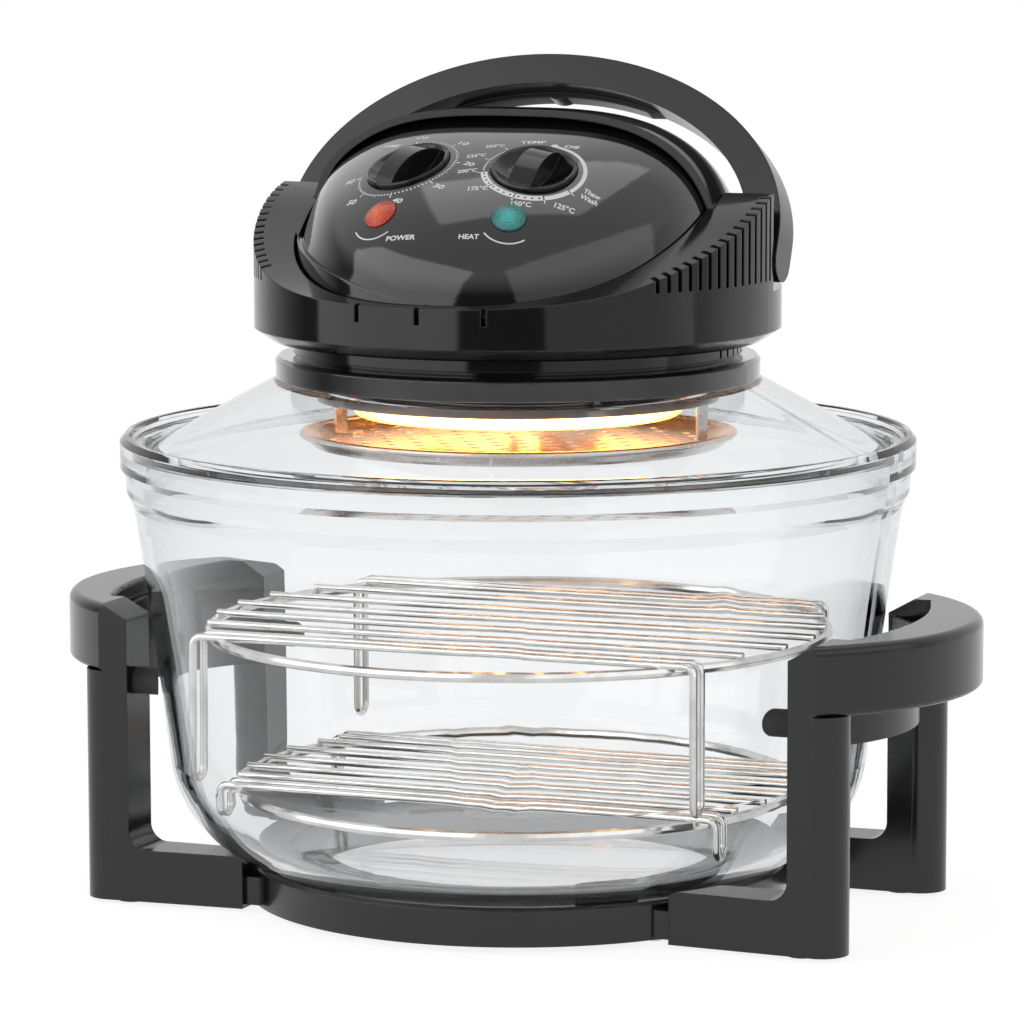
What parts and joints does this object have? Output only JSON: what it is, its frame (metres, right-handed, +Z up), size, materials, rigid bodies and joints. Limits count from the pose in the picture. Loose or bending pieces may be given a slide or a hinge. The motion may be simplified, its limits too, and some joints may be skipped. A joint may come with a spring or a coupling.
{
  "type": "halogen oven",
  "caption": "Tabletop halogen oven: glass bowl on a ring stand with two side grips, wire racks, and a glass lid with a domed heater head, knobs and carrying handle.",
  "frame": {"origin": "centre of the stand's footprint, on the table, under the bowl's axis", "axes": "+Z up along the bowl's axis, -Y towards the user at the control side, X through the two side grips"},
  "size_m": [0.407, 0.34, 0.3612],
  "materials": {
    "stand_plastic": "satin charcoal black",
    "finger_guard_plastic": "semi-gloss black",
    "rubber": "matt black",
    "silicone_gasket": "dark grey",
    "bowl_glass": "clear",
    "lid_glass": "clear",
    "rack_wire": "bright plated",
    "head_plastic": "gloss black",
    "housing_plastic": "satin black",
    "handle_plastic": "satin charcoal",
    "knob_plastic": "semi-gloss black",
    "orange_lens": "translucent orange",
    "green_lens": "translucent green",
    "neon_glass": "clear",
    "lamp_quartz": "quartz tube, lit",
    "ceramic": "unglazed white ceramic",
    "aluminised_steel": "bright",
    "bright_steel": "bright plated",
    "plain_steel": "zinc plated",
    "fan_aluminium": "plain",
    "stator_steel": "laminated",
    "coil_wire": "enamelled copper wire",
    "unit_plastic": "off-white",
    "thermostat_metal": "plain",
    "plunger_plastic": "red"
  },
  "bodies": {
    "stand": {"stand_base": "stand_plastic", "left_side_frame": "stand_plastic", "right_side_frame": "stand_plastic", "left_post_covers": "stand_plastic", "right_post_covers": "stand_plastic", "left_finger_guard": "finger_guard_plastic", "right_finger_guard": "finger_guard_plastic", "bowl_bumpers": "rubber", "bowl_pads": "rubber", "feet": "rubber", "stand_screws": "plain_steel"},
    "bowl": {"glass_bowl": "bowl_glass"},
    "low_rack": {"low_rack": "rack_wire"},
    "high_rack": {"high_rack": "rack_wire"},
    "head": {"glass_lid": "lid_glass", "lid_gasket": "silicone_gasket", "lid_clamps": "plain_steel", "lid_collar": "head_plastic", "head_neck": "housing_plastic", "head_housing": "housing_plastic", "control_panel": "head_plastic", "rear_cover": "housing_plastic", "power_lens": "orange_lens", "heat_lens": "green_lens", "indicator_lamps": "neon_glass", "reflector_plate": "aluminised_steel", "heat_shield": "aluminised_steel", "spacers": "plain_steel", "heater_guard": "bright_steel", "guard_brackets": "bright_steel", "halogen_lamp": "lamp_quartz", "lamp_sockets": "ceramic", "lamp_clips": "bright_steel", "chassis_plate": "plain_steel", "fan_motor": "stator_steel", "motor_coil": "coil_wire", "timer_unit": "unit_plastic", "thermostat_unit": "thermostat_metal", "thermal_cutoff": "thermostat_metal", "safety_switch": "unit_plastic", "terminal_block": "unit_plastic", "cord_gland": "rubber", "housing_screws": "plain_steel"},
    "fan": {"fan_shaft": "plain_steel", "motor_rotor": "plain_steel", "convection_fan": "fan_aluminium", "cooling_fan": "fan_aluminium"},
    "handle": {"carry_handle": "handle_plastic", "handle_pins": "plain_steel"},
    "timer_dial": {"timer_knob": "knob_plastic", "timer_spindle": "plain_steel"},
    "thermostat_dial": {"thermostat_knob": "knob_plastic", "thermostat_spindle": "plain_steel"},
    "switch_plunger": {"switch_plunger": "plunger_plastic"}
  },
  "joints": [
    {"name": "bowl_lift", "type": "slide", "parent": "stand", "child": "bowl", "axis": [0, 0, 1], "range_m": [0, 0.15]},
    {"name": "low_rack_lift", "type": "slide", "parent": "bowl", "child": "low_rack", "axis": [0, 0, 1], "range_m": [0, 0.05]},
    {"name": "high_rack_lift", "type": "slide", "parent": "bowl", "child": "high_rack", "axis": [0, 0, 1], "range_m": [0, 0.06]},
    {"name": "lid_lift", "type": "slide", "parent": "bowl", "child": "head", "axis": [0, 0, 1], "range_m": [0, 0.15]},
    {"name": "fan_spin", "type": "hinge", "parent": "head", "child": "fan", "pos_m": [0, 0, 0.25], "axis": [0, 0, 1], "continuous": true},
    {"name": "handle_pivot", "type": "hinge", "parent": "head", "child": "handle", "pos_m": [0, 0.018, 0.2775], "axis": [1, 0, 0], "range_deg": [0, 24]},
    {"name": "timer_turn", "type": "hinge", "parent": "head", "child": "timer_dial", "pos_m": [-0.02825, -0.053, 0.31876], "axis": [-0.1401, -0.4194, 0.8969], "range_deg": [-300, 0]},
    {"name": "thermostat_turn", "type": "hinge", "parent": "head", "child": "thermostat_dial", "pos_m": [0.02825, -0.053, 0.31876], "axis": [0.1401, -0.4194, 0.8969], "range_deg": [-300, 0]},
    {"name": "plunger_travel", "type": "slide", "parent": "head", "child": "switch_plunger", "axis": [0, 0, 1], "range_m": [0, 0.0011]}
  ],
  "couplings": [
    {"joint": "plunger_travel", "follows": "handle_pivot", "m_per_rad": 0.002387}
  ]
}
